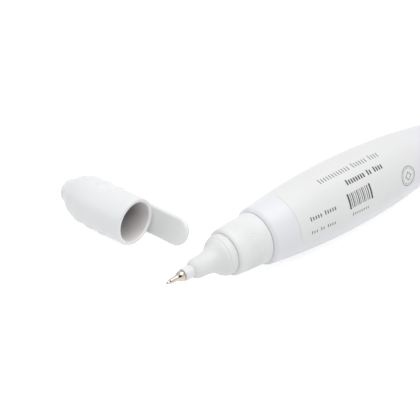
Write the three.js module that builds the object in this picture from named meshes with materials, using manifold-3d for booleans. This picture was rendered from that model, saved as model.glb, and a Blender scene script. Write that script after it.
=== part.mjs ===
// Underglaze pen: a squeeze bottle with a needle nozzle, and its clip cap lying beside it.
// Millimetres, +Z up. The pen lies along X with its nose towards -X.
// A station is a distance along the pen axis. Station 0 is the rear edge of the collar.

import * as THREE from "three";
import { mergeVertices } from "three/addons/utils/BufferGeometryUtils.js";
import Module from "manifold-3d";

const wasm = await Module();
wasm.setup();

// Fits
const FIT = 0.3;
const SLEEVE_FIT = 0.15;
const LABEL_GAP = 0.1;

// Facets round a turned piece
const BODY_SIDES = 36;
const COLLAR_SIDES = 60;
const SMALL_SIDES = 24;
const TINY_SIDES = 12;

// Bottle
const BOTTLE_R = 11.43;
const BULGE_AT = 35.5;
const BULGE_FLAT = 3.5;
const ARC_RADIUS = 245;
const SHOULDER_AT = 2;
const TAIL_END = 87.5;
const TAIL_FACE_R = 4.5;
const TAIL_ROUND = 1.8;
const WALL = 1.1;
const TAIL_WALL = 1.6;

// Neck and screw thread
const NECK_R = 5.65;
const NECK_BORE_R = 4.5;
const NECK_RIM = -8.05;
const THREAD_HEIGHT = 0.6;
const THREAD_PITCH = 2.5;
const THREAD_TURNS = 1.5;
const THREAD_START = -6.6;
const THREAD_ROOT_WIDTH = 1.0;
const THREAD_CREST_WIDTH = 0.5;
const THREAD_STEPS_A_TURN = 18;

// Label. Its turn is in degrees about the pen, and so are its skew and taper from end to end.
const LABEL_FRONT = 9.3;
const LABEL_LENGTH = 56.9;
const LABEL_WIDTH = 21.9;
const LABEL_CORNER = 2.6;
const LABEL_THICKNESS = 0.15;
const LABEL_TURN = 37.3;
const LABEL_SKEW = 8.9;
const LABEL_TAPER = 7.5;
const LABEL_COLUMNS = 12;
const LABEL_ROWS = 12;

// Collar
const COLLAR_LENGTH = 12;
const COLLAR_FRONT_R = 7.35;
const COLLAR_WAIST_R = 7.6;
const COLLAR_REAR_R = 8.1;
const COLLAR_EDGE = 0.6;
const COLLAR_FRONT_WALL = 1.35;
const KNURL_DEPTH = 0.12;
const KNURL_FRONT = -10.2;
const KNURL_REAR = -1.2;
const NIB_WIDTH = 0.9;
const NIB_TURN = 88;

// Nozzle
const LIP_R = 6.2;
const LIP_FRONT = -14.06;
const BEAD_FRONT = -24.9;
const BEAD_R = 3.1;
const FLANGE_THICKNESS = 1;
const PLUG_REAR = -3.5;
const SLEEVE_R = 2.0;
const PASSAGE_R = 3.1;
const STEP_AT = -13;

// Needle valve
const SLEEVE_FRONT = -28.2;
const SLEEVE_REAR = -11.7;
const SLEEVE_BORE_R = 1.4;
const SLEEVE_FLANGE_R = 2.8;
const SLEEVE_FLANGE = 1;
const TUBE_R = 0.8;
const TUBE_FRONT = -34.15;
const TUBE_BORE_R = 0.36;
const TUBE_NOSE = 1.35;
const FERRULE_R = 1.6;
const FERRULE_CONE = 2.2;
const FERRULE_SHANK_REAR = -25;
const PIN_R = 0.225;
const PIN_FRONT = -34.8;
const PIN_REAR = -12.4;
const HEAD_FRONT = -22.2;
const HEAD_THICKNESS = 0.7;
const HEAD_R = 1.1;
const SPRING_R = 1.0;
const SPRING_WIRE_R = 0.15;
const SPRING_FRONT = -21.0;
const SPRING_REAR = -13.9;
const SPRING_CURLS = 8;
const SEAT_FRONT = -13.4;
const SEAT_THICKNESS = 0.8;
const FLOW_HOLES = 4;
const FLOW_HOLE_R = 0.22;

// Mixing ball
const BALL_R = 2.5;

// Cap, measured from its mouth towards its closed end
const CAP_R = 7.6;
const CAP_LENGTH = 28.9;
const CAP_ROUND = 10.3;
const CAP_WALL = 1.35;
const CAP_END_WALL = 1.5;
const CAP_MOUTH_AT = [-17.25, 33.92];
const CAP_TURN = 97;
const BAR_HEIGHT = 0.28;
const BAR_WIDTH = 2.4;
const BAR_FIRST = 9.6;
const BAR_PITCH = 5.2;
const BAR_COUNT = 3;
const BAR_FROM = 62;
const BAR_TO = 121;
const END_PLUG_R = 4.15;
const END_PLUG_LENGTH = 2.6;
const END_PLUG_SHANK_R = 2.6;
const SEAL_R = 4.0;
const SEAL_LENGTH = 6.3;
const SEAL_HOLE_R = 0.8;
const SEAL_HOLE_DEPTH = 4.7;

// Clip
const CLIP_FACE = 8.65;
const CLIP_THICKNESS = 1.8;
const CLIP_WIDTH = 8.8;
const CLIP_REACH = 13.3;
const CLIP_ROOT_END = 19.6;
const CLIP_FOOT_LENGTH = 7;
const CLIP_FOOT_WIDTH = 5.4;
const CLIP_EDGE = 0.8;
const CLIP_ROLL = 23;

// Sizes that follow from the fits
const THREAD_CREST_R = NECK_R + THREAD_HEIGHT;
const COLLAR_BORE_R = THREAD_CREST_R + FIT;
const WAIST_R = LIP_R - 0.75;
const COLLAR_FRONT = -COLLAR_LENGTH;
const COLLAR_WALL_REAR = COLLAR_FRONT + COLLAR_FRONT_WALL;
const FLANGE_FRONT = COLLAR_WALL_REAR + FIT;
const FLANGE_REAR = FLANGE_FRONT + FLANGE_THICKNESS;
const GASKET_FRONT = FLANGE_REAR + FIT;
const GASKET_REAR = NECK_RIM - FIT;
const BOTTLE_FRONT = FIT;
const CAP_END = CAP_LENGTH - END_PLUG_LENGTH;
const SEAL_REAR = CAP_END - CAP_END_WALL - FIT;
const SEAL_FRONT = SEAL_REAR - SEAL_LENGTH;
const AXIS_HEIGHT = BOTTLE_R * Math.cos(Math.PI / BODY_SIDES);
const CAP_AXIS_HEIGHT = CAP_R + BAR_HEIGHT;

const radians = THREE.MathUtils.degToRad;

// A closed solid from a geometry, with points merged, slivers dropped and faces out.
function solidOf(geometry) {
  const bare = new THREE.BufferGeometry();
  bare.setAttribute("position", geometry.getAttribute("position"));
  if (geometry.index) bare.setIndex(geometry.index);
  const merged = mergeVertices(bare, 1e-4);
  const faces = [];
  for (let i = 0; i < merged.index.count; i += 3) {
    const [a, b, c] = [0, 1, 2].map((k) => merged.index.getX(i + k));
    if (a !== b && b !== c && c !== a) faces.push(a, b, c);
  }
  const build = (indices) => {
    const triVerts = new Uint32Array(indices);
    const vertProperties = new Float32Array(merged.attributes.position.array);
    return new wasm.Manifold(new wasm.Mesh({ numProp: 3, vertProperties, triVerts }));
  };
  const solid = build(faces);
  return solid.volume() < 0 ? build(faces.reverse()) : solid;
}

// A named mesh from a solid.
function meshOf(name, solid, colour, roughness = 0.4, metalness = 0) {
  const made = solid.getMesh();
  const points = [];
  for (let i = 0; i < made.numVert; i++) {
    const at = i * made.numProp;
    points.push(...made.vertProperties.subarray(at, at + 3));
  }
  const geometry = new THREE.BufferGeometry();
  geometry.setAttribute("position", new THREE.Float32BufferAttribute(points, 3));
  geometry.setIndex([...made.triVerts]);
  const flat = geometry.toNonIndexed();
  flat.computeVertexNormals();
  const material = new THREE.MeshStandardMaterial({ color: colour, roughness, metalness });
  const mesh = new THREE.Mesh(flat, material);
  mesh.name = name;
  return mesh;
}

// A profile of [station, radius] points turned about the X axis, with a facet underneath.
function turned(profile, sides) {
  const points = profile.map(([station, radius]) => new THREE.Vector2(radius, station));
  const geometry = new THREE.LatheGeometry(points, sides, Math.PI / sides);
  geometry.rotateZ(-Math.PI / 2);
  return solidOf(geometry);
}

// A turned shell: its outer and inner lines both run from front to rear.
function turnedShell(outer, inner, sides) {
  return turned([...outer, ...inner.toReversed(), outer[0]], sides);
}

function rod(front, rear, radius, sides) {
  return turned([[front, 0], [front, radius], [rear, radius], [rear, 0]], sides);
}

function moved(solid, x, y, z) {
  return solid.translate([x, y, z]);
}

// A closed tube of one section carried along a row of frames.
function swept(rings) {
  const points = rings.flat();
  const count = rings[0].length;
  const index = [];
  for (let i = 0; i + 1 < rings.length; i++) {
    for (let k = 0; k < count; k++) {
      const a = i * count + k;
      const b = i * count + ((k + 1) % count);
      index.push(a, b, b + count);
      index.push(a, b + count, a + count);
    }
  }
  const last = (rings.length - 1) * count;
  for (let k = 1; k + 1 < count; k++) {
    index.push(0, k + 1, k);
    index.push(last, last + k, last + k + 1);
  }
  const geometry = new THREE.BufferGeometry();
  geometry.setAttribute("position", new THREE.Float32BufferAttribute(points.flat(), 3));
  geometry.setIndex(index);
  return solidOf(geometry);
}

// A screw thread rib. The root radius lies inside the piece that carries it.
function threadRib(rootR, crestR, start) {
  const steps = Math.round(THREAD_TURNS * THREAD_STEPS_A_TURN);
  const rings = [];
  for (let i = 0; i <= steps; i++) {
    const turn = i / THREAD_STEPS_A_TURN;
    const angle = 2 * Math.PI * turn;
    const middle = start + THREAD_PITCH * turn;
    const corners = [
      [-THREAD_ROOT_WIDTH / 2, rootR],
      [-THREAD_CREST_WIDTH / 2, crestR],
      [THREAD_CREST_WIDTH / 2, crestR],
      [THREAD_ROOT_WIDTH / 2, rootR],
    ];
    rings.push(corners.map(([along, r]) => [middle + along, r * Math.cos(angle), r * Math.sin(angle)]));
  }
  return swept(rings);
}

// Outer radius of the bottle's long bulge, with a short level stretch at its widest.
function bottleRadius(station) {
  const away = Math.max(0, Math.abs(station - BULGE_AT) - BULGE_FLAT);
  const reach = Math.abs(station - BULGE_AT);
  return away === 0 ? BOTTLE_R : BOTTLE_R - (reach * reach) / (2 * ARC_RADIUS);
}

function bulgeStations(from, to, parts) {
  const front = BULGE_AT - BULGE_FLAT;
  const rear = BULGE_AT + BULGE_FLAT;
  const stations = [];
  for (let i = 0; i < parts; i++) stations.push(from + ((front - from) * i) / parts);
  stations.push(front);
  for (let i = 0; i <= parts; i++) stations.push(rear + ((to - rear) * i) / parts);
  return stations;
}

function makeBottle() {
  const shoulder = bottleRadius(SHOULDER_AT);
  const tailStart = TAIL_END - TAIL_ROUND;
  const tailR = bottleRadius(tailStart);
  const outer = [
    [NECK_RIM, NECK_R],
    [BOTTLE_FRONT, NECK_R],
    [BOTTLE_FRONT, shoulder - 0.9],
    [BOTTLE_FRONT + 0.2, shoulder - 0.42],
    [BOTTLE_FRONT + 0.7, shoulder - 0.16],
    ...bulgeStations(SHOULDER_AT, tailStart, 6).map((s) => [s, bottleRadius(s)]),
    [TAIL_END - 0.8, tailR - 0.4],
    [TAIL_END - 0.2, tailR - 1.0],
    [TAIL_END, TAIL_FACE_R],
  ];
  const insideFront = BOTTLE_FRONT + WALL;
  const insideRear = TAIL_END - TAIL_WALL;
  const inner = [
    [NECK_RIM, NECK_BORE_R],
    [insideFront, NECK_BORE_R],
    [insideFront, shoulder - WALL - 0.9],
    ...bulgeStations(SHOULDER_AT + 1, insideRear - TAIL_WALL, 4).map((s) => [s, bottleRadius(s) - WALL]),
    [insideRear, TAIL_FACE_R - 0.6],
  ];
  const profile = [[TAIL_END, 0], ...outer.toReversed(), ...inner, [insideRear, 0]];
  const rib = threadRib(NECK_R - 0.3, THREAD_CREST_R, THREAD_START);
  return turned(profile, BODY_SIDES).add(rib);
}

// A point on the label's face at a station and an angle from the top towards the camera side.
function labelPoint(station, angle, lift) {
  const radius = bottleRadius(station) + LABEL_GAP + lift;
  return [station, -radius * Math.sin(radians(angle)), radius * Math.cos(radians(angle))];
}

// How far a rounded corner draws the label's end in, at a distance from its long edge.
function cornerInset(fromEdge) {
  const short = Math.max(0, LABEL_CORNER - fromEdge);
  return LABEL_CORNER - Math.sqrt(LABEL_CORNER * LABEL_CORNER - short * short);
}

// Columns run along the pen, rows round it. The corners shorten the outer columns.
function labelGrid(lift) {
  const middle = LABEL_FRONT + LABEL_LENGTH / 2;
  const corner = [0, 0.12, 0.5, 1].map((share) => share * LABEL_CORNER);
  const straight = LABEL_WIDTH - 2 * LABEL_CORNER;
  const edges = [...corner];
  for (let i = 1; i < LABEL_COLUMNS; i++) edges.push(LABEL_CORNER + (straight * i) / LABEL_COLUMNS);
  edges.push(...corner.toReversed().map((distance) => LABEL_WIDTH - distance));
  return edges.map((edge) => {
    const inset = cornerInset(Math.min(edge, LABEL_WIDTH - edge));
    const across = edge / LABEL_WIDTH - 0.5;
    const column = [];
    for (let i = 0; i <= LABEL_ROWS; i++) {
      const reach = LABEL_LENGTH - 2 * inset;
      const station = LABEL_FRONT + inset + (reach * i) / LABEL_ROWS;
      const along = (station - middle) / LABEL_LENGTH;
      const span = LABEL_WIDTH / BOTTLE_R / radians(1) - LABEL_TAPER * along;
      column.push(labelPoint(station, LABEL_TURN - LABEL_SKEW * along + span * across, lift));
    }
    return column;
  });
}

// A thin closed film between two grids of points that lie over each other.
function film(inner, outer) {
  const columns = inner.length;
  const rows = inner[0].length;
  const under = (i, k) => i * rows + k;
  const over = (i, k) => (columns + i) * rows + k;
  const index = [];
  const face = (a, b, c, d) => index.push(a, b, c, a, c, d);
  for (let i = 0; i + 1 < columns; i++) {
    for (let k = 0; k + 1 < rows; k++) {
      face(under(i, k), under(i + 1, k), under(i + 1, k + 1), under(i, k + 1));
      face(over(i, k), over(i, k + 1), over(i + 1, k + 1), over(i + 1, k));
    }
    const last = rows - 1;
    face(under(i, 0), over(i, 0), over(i + 1, 0), under(i + 1, 0));
    face(under(i, last), under(i + 1, last), over(i + 1, last), over(i, last));
  }
  for (let k = 0; k + 1 < rows; k++) {
    const last = columns - 1;
    face(under(0, k), under(0, k + 1), over(0, k + 1), over(0, k));
    face(under(last, k), over(last, k), over(last, k + 1), under(last, k + 1));
  }
  const geometry = new THREE.BufferGeometry();
  const points = [...inner, ...outer].flat(2);
  geometry.setAttribute("position", new THREE.Float32BufferAttribute(points, 3));
  geometry.setIndex(index);
  return solidOf(geometry);
}

function makeLabel() {
  return film(labelGrid(0), labelGrid(LABEL_THICKNESS));
}

// Screw collar with a fine knurl: every second column of the knurled band is set in.
function makeCollar() {
  const outer = [
    [COLLAR_FRONT, COLLAR_FRONT_R - COLLAR_EDGE],
    [COLLAR_FRONT + 0.2, COLLAR_FRONT_R - 0.18],
    [COLLAR_FRONT + COLLAR_EDGE, COLLAR_FRONT_R],
    [KNURL_FRONT, COLLAR_WAIST_R - 0.1],
    [KNURL_FRONT + 0.3, COLLAR_WAIST_R],
    [KNURL_REAR - 0.3, COLLAR_REAR_R - 0.2],
    [KNURL_REAR, COLLAR_REAR_R - 0.1],
    [-0.2, COLLAR_REAR_R],
    [0, COLLAR_REAR_R - 0.15],
  ];
  const inner = [
    [COLLAR_FRONT, WAIST_R + FIT],
    [COLLAR_WALL_REAR, WAIST_R + FIT],
    [COLLAR_WALL_REAR, COLLAR_BORE_R],
    [0, COLLAR_BORE_R],
  ];
  const points = [...outer, ...inner.toReversed(), outer[0]];
  const profile = points.map(([station, radius]) => new THREE.Vector2(radius, station));
  const geometry = new THREE.LatheGeometry(profile, COLLAR_SIDES, Math.PI / COLLAR_SIDES);
  geometry.rotateZ(-Math.PI / 2);
  const position = geometry.getAttribute("position");
  for (let i = 0; i < position.count; i++) {
    const column = Math.floor(i / points.length);
    const row = i % points.length;
    if (column % 2 === 0 || row < 4 || row > 5) continue;
    const radius = Math.hypot(position.getY(i), position.getZ(i));
    const scale = (radius - KNURL_DEPTH) / radius;
    position.setY(i, position.getY(i) * scale);
    position.setZ(i, position.getZ(i) * scale);
  }
  const rib = threadRib(COLLAR_BORE_R + 0.3, NECK_R + FIT, THREAD_START + THREAD_PITCH / 2);
  const nibHeight = COLLAR_REAR_R - COLLAR_BORE_R - 0.4;
  const nib = new THREE.BoxGeometry(NIB_WIDTH, NIB_WIDTH, nibHeight);
  nib.translate(BOTTLE_FRONT - FIT - NIB_WIDTH / 2, 0, COLLAR_REAR_R - 0.1 - nibHeight / 2);
  nib.rotateX(radians(NIB_TURN));
  return solidOf(geometry).add(rib).add(solidOf(nib));
}

function makeNozzle() {
  const flare = [
    [BEAD_FRONT, SLEEVE_R + 0.4],
    [BEAD_FRONT + 0.2, BEAD_R - 0.45],
    [BEAD_FRONT + 0.8, BEAD_R - 0.15],
    [-22.5, BEAD_R],
    [-20, BEAD_R + 0.15],
    [-18, 3.65],
    [-17, 4.12],
    [-16, 4.9],
    [-15.4, LIP_R - 0.77],
    [LIP_FRONT - 0.9, LIP_R - 0.5],
    [LIP_FRONT - 0.5, LIP_R - 0.46],
    [LIP_FRONT - 0.25, LIP_R - 0.15],
    [LIP_FRONT + 0.1, LIP_R],
  ];
  const outer = [
    ...flare,
    [COLLAR_FRONT - FIT, LIP_R],
    [COLLAR_FRONT - FIT, WAIST_R],
    [FLANGE_FRONT, WAIST_R],
    [FLANGE_FRONT, COLLAR_BORE_R - FIT],
    [FLANGE_REAR, COLLAR_BORE_R - FIT],
    [FLANGE_REAR, NECK_BORE_R - FIT],
    [PLUG_REAR, NECK_BORE_R - FIT],
  ];
  const inner = [
    [BEAD_FRONT, SLEEVE_R + SLEEVE_FIT],
    [STEP_AT, SLEEVE_R + SLEEVE_FIT],
    [STEP_AT, PASSAGE_R],
    [PLUG_REAR, PASSAGE_R],
  ];
  return turnedShell(outer, inner, SMALL_SIDES);
}

function makeGasket() {
  const outer = [[GASKET_FRONT, COLLAR_BORE_R - 0.45], [GASKET_REAR, COLLAR_BORE_R - 0.45]];
  const inner = [[GASKET_FRONT, NECK_BORE_R], [GASKET_REAR, NECK_BORE_R]];
  return turnedShell(outer, inner, SMALL_SIDES);
}

function makeTipHolder() {
  const flangeFront = SLEEVE_REAR - SLEEVE_FLANGE;
  const outer = [
    [SLEEVE_FRONT, SLEEVE_R - 0.25],
    [SLEEVE_FRONT + 0.25, SLEEVE_R],
    [flangeFront, SLEEVE_R],
    [flangeFront, SLEEVE_FLANGE_R],
    [SLEEVE_REAR, SLEEVE_FLANGE_R],
  ];
  const inner = [[SLEEVE_FRONT, SLEEVE_BORE_R], [SLEEVE_REAR, SLEEVE_BORE_R]];
  return turnedShell(outer, inner, SMALL_SIDES);
}

function makeFerrule() {
  const shoulder = SLEEVE_FRONT - SLEEVE_FIT;
  const flare = FERRULE_R - TUBE_R;
  const coneRear = shoulder - 0.6;
  const outer = [
    [TUBE_FRONT, TUBE_R * 0.54],
    [TUBE_FRONT + TUBE_NOSE * 0.2, TUBE_R * 0.66],
    [TUBE_FRONT + TUBE_NOSE * 0.5, TUBE_R * 0.86],
    [TUBE_FRONT + TUBE_NOSE, TUBE_R],
    [coneRear - FERRULE_CONE, TUBE_R],
    [coneRear - FERRULE_CONE * 0.72, TUBE_R + flare * 0.22],
    [coneRear - FERRULE_CONE * 0.26, TUBE_R + flare * 0.82],
    [coneRear, FERRULE_R],
    [shoulder, FERRULE_R],
    [shoulder, SLEEVE_BORE_R - SLEEVE_FIT],
    [FERRULE_SHANK_REAR, SLEEVE_BORE_R - SLEEVE_FIT],
  ];
  const inner = [[TUBE_FRONT, TUBE_BORE_R], [FERRULE_SHANK_REAR, TUBE_BORE_R]];
  return turnedShell(outer, inner, TINY_SIDES);
}

function makeNeedle() {
  const profile = [
    [PIN_FRONT, 0],
    [PIN_FRONT, PIN_R * 0.6],
    [PIN_FRONT + 0.12, PIN_R],
    [PIN_REAR, PIN_R],
    [PIN_REAR, 0],
  ];
  return turned(profile, TINY_SIDES);
}

function makeNeedleHead() {
  const rear = HEAD_FRONT + HEAD_THICKNESS;
  const outer = [[HEAD_FRONT, HEAD_R - 0.2], [HEAD_FRONT + 0.2, HEAD_R], [rear, HEAD_R]];
  const inner = [[HEAD_FRONT, PIN_R + 0.1], [rear, PIN_R + 0.1]];
  return turnedShell(outer, inner, TINY_SIDES);
}

// Compression spring: one unbroken tube on a helix, eight steps a curl, five sides.
function makeSpring() {
  const steps = SPRING_CURLS * 8;
  const length = SPRING_REAR - SPRING_FRONT;
  const slope = length / (2 * Math.PI * SPRING_R * SPRING_CURLS);
  const rings = [];
  for (let i = 0; i <= steps; i++) {
    const angle = (2 * Math.PI * i) / 8;
    const centre = new THREE.Vector3(
      SPRING_FRONT + (length * i) / steps,
      SPRING_R * Math.cos(angle),
      SPRING_R * Math.sin(angle),
    );
    const out = new THREE.Vector3(0, Math.cos(angle), Math.sin(angle));
    const along = new THREE.Vector3(slope, -Math.sin(angle), Math.cos(angle)).normalize();
    const side = new THREE.Vector3().crossVectors(along, out);
    const ring = [];
    for (let k = 0; k < 5; k++) {
      const round = (2 * Math.PI * k) / 5;
      const point = centre.clone();
      point.addScaledVector(out, SPRING_WIRE_R * Math.cos(round));
      point.addScaledVector(side, SPRING_WIRE_R * Math.sin(round));
      ring.push(point.toArray());
    }
    rings.push(ring);
  }
  return swept(rings);
}

function makeSpringSeat() {
  const rear = SEAT_FRONT + SEAT_THICKNESS;
  const outer = [[SEAT_FRONT, SLEEVE_BORE_R - 0.1], [rear, SLEEVE_BORE_R - 0.1]];
  const inner = [[SEAT_FRONT, PIN_R + 0.1], [rear, PIN_R + 0.1]];
  let seat = turnedShell(outer, inner, TINY_SIDES);
  for (let i = 0; i < FLOW_HOLES; i++) {
    const angle = (2 * Math.PI * i) / FLOW_HOLES;
    const hole = rod(SEAT_FRONT - 1, rear + 1, FLOW_HOLE_R, 6);
    seat = seat.subtract(moved(hole, 0, 0.8 * Math.cos(angle), 0.8 * Math.sin(angle)));
  }
  return seat;
}

function makeBall() {
  const floor = (BOTTLE_R - WALL) * Math.cos(Math.PI / BODY_SIDES);
  const geometry = new THREE.SphereGeometry(BALL_R, 12, 8);
  geometry.translate(BULGE_AT, 0, BALL_R + FIT - floor);
  return solidOf(geometry);
}

// The cap's outside: straight from the mouth, then rounded over towards its closed end.
function capOutline() {
  const start = CAP_END - CAP_ROUND;
  const round = [[0.19, 0.1], [0.39, 0.3], [0.58, 0.68], [0.73, 1.2], [0.84, 1.9], [0.93, 2.6], [1, 3.2]];
  return [
    [0, CAP_R - 0.3],
    [0.3, CAP_R],
    [start, CAP_R],
    ...round.map(([share, drop]) => [start + share * CAP_ROUND, CAP_R - drop]),
  ];
}

// Radius of that outside at one place.
function capRadius(along) {
  const outline = capOutline();
  const next = outline.findIndex(([station]) => station >= along);
  const [a, b] = [outline[next - 1], outline[next]];
  return a[1] + ((b[1] - a[1]) * (along - a[0])) / (b[0] - a[0]);
}

// An arc-shaped bar round the cap, from one angle to another about its axis.
function gripBar(centre, fromAngle, toAngle) {
  const start = radians(fromAngle);
  const end = radians(toAngle);
  const inside = CAP_R - CAP_WALL / 2;
  const outside = capRadius(centre) + BAR_HEIGHT;
  const shape = new THREE.Shape();
  shape.absarc(0, 0, outside, start, end, false);
  shape.absarc(0, 0, inside, end, start, true);
  shape.closePath();
  const extruded = { depth: BAR_WIDTH, bevelEnabled: false, curveSegments: 6 };
  const geometry = new THREE.ExtrudeGeometry(shape, extruded);
  geometry.rotateY(Math.PI / 2);
  geometry.translate(centre - BAR_WIDTH / 2, 0, 0);
  return solidOf(geometry);
}

function makeCapShell() {
  const outer = [...capOutline(), [CAP_END, END_PLUG_SHANK_R + FIT]];
  const innerEnd = CAP_END - CAP_END_WALL;
  const inner = [
    [0, CAP_R - CAP_WALL + 0.2],
    [0.3, CAP_R - CAP_WALL],
    [CAP_END - CAP_ROUND * 0.8, CAP_R - CAP_WALL - 0.2],
    [CAP_END - CAP_ROUND * 0.42, CAP_R - CAP_WALL - 0.8],
    [innerEnd, SEAL_R + FIT],
    [innerEnd, END_PLUG_SHANK_R + FIT],
    [CAP_END, END_PLUG_SHANK_R + FIT],
  ];
  let shell = turnedShell(outer, inner.slice(0, -1), BODY_SIDES);
  for (let i = 0; i < BAR_COUNT; i++) {
    const centre = BAR_FIRST + BAR_PITCH * i;
    const near = clipAngle() + BAR_FROM;
    const far = clipAngle() + BAR_TO;
    shell = shell.add(gripBar(centre, near, far));
    shell = shell.add(gripBar(centre, 2 * clipAngle() - far, 2 * clipAngle() - near));
  }
  return shell;
}

// The clip points to local -Y, rolled down by its roll angle. Angles here are those of the bar's
// outline, whose own X axis becomes local -Z when it is laid along the cap.
function clipAngle() {
  return -90 + CLIP_ROLL;
}

// Rounded strip with a half-round free end, standing on a foot that fits the cap's curve.
function makeClip() {
  const half = CLIP_WIDTH / 2;
  const shape = new THREE.Shape();
  shape.moveTo(CLIP_ROOT_END - CLIP_EDGE, -(half - CLIP_EDGE));
  shape.lineTo(CLIP_ROOT_END - CLIP_EDGE, half - CLIP_EDGE);
  shape.lineTo(half - CLIP_REACH, half - CLIP_EDGE);
  shape.absarc(half - CLIP_REACH, 0, half - CLIP_EDGE, Math.PI / 2, 1.5 * Math.PI, false);
  shape.closePath();
  const strip = new THREE.ExtrudeGeometry(shape, {
    depth: CLIP_THICKNESS - 2 * CLIP_EDGE,
    bevelEnabled: true,
    bevelThickness: CLIP_EDGE,
    bevelSize: CLIP_EDGE,
    bevelSegments: 3,
    curveSegments: 10,
  });
  strip.rotateX(Math.PI / 2);
  strip.translate(0, -CLIP_FACE - CLIP_EDGE, 0);
  const foot = new THREE.BoxGeometry(CLIP_FOOT_LENGTH, CLIP_FACE + 0.6, CLIP_FOOT_WIDTH);
  foot.translate(CLIP_ROOT_END - 0.6 - CLIP_FOOT_LENGTH / 2, -(CLIP_FACE + 0.6) / 2, 0);
  const saddle = rod(-1, CAP_END, CAP_R + 0.2, BODY_SIDES);
  const clip = solidOf(strip).add(solidOf(foot)).subtract(saddle.rotate([-CLIP_ROLL, 0, 0]));
  return clip.rotate([CLIP_ROLL, 0, 0]);
}

function makeSeal() {
  const holeEnd = SEAL_FRONT + SEAL_HOLE_DEPTH;
  const profile = [
    [holeEnd, 0],
    [holeEnd, SEAL_HOLE_R],
    [SEAL_FRONT + 1, SEAL_HOLE_R],
    [SEAL_FRONT, SEAL_HOLE_R + 0.9],
    [SEAL_FRONT, SEAL_R - 0.3],
    [SEAL_FRONT + 0.3, SEAL_R],
    [SEAL_REAR, SEAL_R],
    [SEAL_REAR, 0],
  ];
  return turned(profile, SMALL_SIDES);
}

function makeEndPlug() {
  const front = CAP_END + FIT;
  const profile = [
    [CAP_END - CAP_END_WALL, 0],
    [CAP_END - CAP_END_WALL, END_PLUG_SHANK_R],
    [front, END_PLUG_SHANK_R],
    [front, END_PLUG_R],
    [CAP_END + END_PLUG_LENGTH * 0.42, END_PLUG_R - 0.05],
    [CAP_END + END_PLUG_LENGTH * 0.73, END_PLUG_R - 0.4],
    [CAP_END + END_PLUG_LENGTH * 0.92, END_PLUG_R - 0.95],
    [CAP_LENGTH, END_PLUG_R - 1.4],
    [CAP_LENGTH, 0],
  ];
  return turned(profile, SMALL_SIDES);
}

const white = 0xf2f3f4;
const pen = new THREE.Group();
pen.name = "pen";
pen.position.z = AXIS_HEIGHT;
pen.add(
  meshOf("bottle", makeBottle(), white, 0.38),
  meshOf("label", makeLabel(), 0xfafafa, 0.6),
  meshOf("collar", makeCollar(), 0xf4f5f4, 0.45),
  meshOf("nozzle", makeNozzle(), 0xf3f3f2, 0.4),
  meshOf("nozzle_gasket", makeGasket(), 0xd9d7d2, 0.7),
  meshOf("tip_holder", makeTipHolder(), 0xf5f6f6, 0.4),
  meshOf("tip_ferrule", makeFerrule(), 0xb9a98c, 0.25, 1),
  meshOf("valve_needle", makeNeedle(), 0xc9c9c6, 0.2, 1),
  meshOf("needle_head", makeNeedleHead(), 0xe8e8e6, 0.5),
  meshOf("valve_spring", makeSpring(), 0xbfc0c0, 0.3, 1),
  meshOf("spring_seat", makeSpringSeat(), 0xe8e8e6, 0.5),
  meshOf("mixing_ball", makeBall(), 0xc4c6c8, 0.2, 1),
);

const cap = new THREE.Group();
cap.name = "cap";
cap.position.set(CAP_MOUTH_AT[0], CAP_MOUTH_AT[1], CAP_AXIS_HEIGHT);
cap.rotation.z = radians(CAP_TURN);
cap.add(
  meshOf("cap_shell", makeCapShell(), 0xf0f1f2, 0.4),
  meshOf("cap_clip", makeClip(), 0xeeeff0, 0.4),
  meshOf("cap_seal", makeSeal(), 0xdad4d0, 0.8),
  meshOf("cap_end_plug", makeEndPlug(), 0xeceded, 0.4),
);

// The origin goes to the middle of the bounding box's underside.
const root = new THREE.Group();
root.name = "underglaze_pen";
root.add(pen, cap);
root.updateMatrixWorld(true);
const box = new THREE.Box3().setFromObject(root, true);
const centre = box.getCenter(new THREE.Vector3());
for (const part of root.children) {
  part.position.sub(new THREE.Vector3(centre.x, centre.y, box.min.z));
}

export default root;
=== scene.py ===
# %% [markdown]
# # Underglaze pen: the looks
# A squeeze pen for ceramic underglaze lies on a white floor with its cap off beside it.
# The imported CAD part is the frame: it says where each piece sits and what it moves with.
# This script puts a finely shaped and finished piece over each CAD node.
# Lengths below are in millimetres along the pen axis, as a designer would draw them.
# Blender works in metres, so each mesh is scaled once, when it is put in its place.

import math

import bmesh
import bpy
import numpy as np
from mathutils import Matrix, Vector


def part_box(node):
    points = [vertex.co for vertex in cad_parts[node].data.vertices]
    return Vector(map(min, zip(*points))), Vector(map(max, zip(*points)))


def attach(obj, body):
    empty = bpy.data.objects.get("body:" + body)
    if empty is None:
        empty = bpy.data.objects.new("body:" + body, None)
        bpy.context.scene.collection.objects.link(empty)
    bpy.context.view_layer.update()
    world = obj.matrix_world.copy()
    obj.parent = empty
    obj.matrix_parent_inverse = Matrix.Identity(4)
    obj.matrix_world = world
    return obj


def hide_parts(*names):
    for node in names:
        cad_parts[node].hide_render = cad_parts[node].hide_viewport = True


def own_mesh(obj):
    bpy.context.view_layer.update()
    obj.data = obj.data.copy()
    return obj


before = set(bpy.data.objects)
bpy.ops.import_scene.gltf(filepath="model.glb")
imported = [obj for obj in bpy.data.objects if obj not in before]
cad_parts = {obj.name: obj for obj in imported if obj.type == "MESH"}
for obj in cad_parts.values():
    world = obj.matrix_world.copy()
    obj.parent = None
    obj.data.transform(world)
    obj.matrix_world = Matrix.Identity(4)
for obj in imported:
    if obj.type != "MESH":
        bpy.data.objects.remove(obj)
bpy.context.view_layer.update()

# %% [markdown]
# ## Where things are
# The pen's axis is level and runs along X. Station 0 is the rear edge of the collar.
# The cap lies beside the pen, and its own stations count from its mouth to its closed end.
# Both axes are read from the CAD boxes, so the looks follow the part. A matrix for the pen and
# one for the cap let every piece be drawn along a plain X axis and then be put where it lies.

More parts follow.
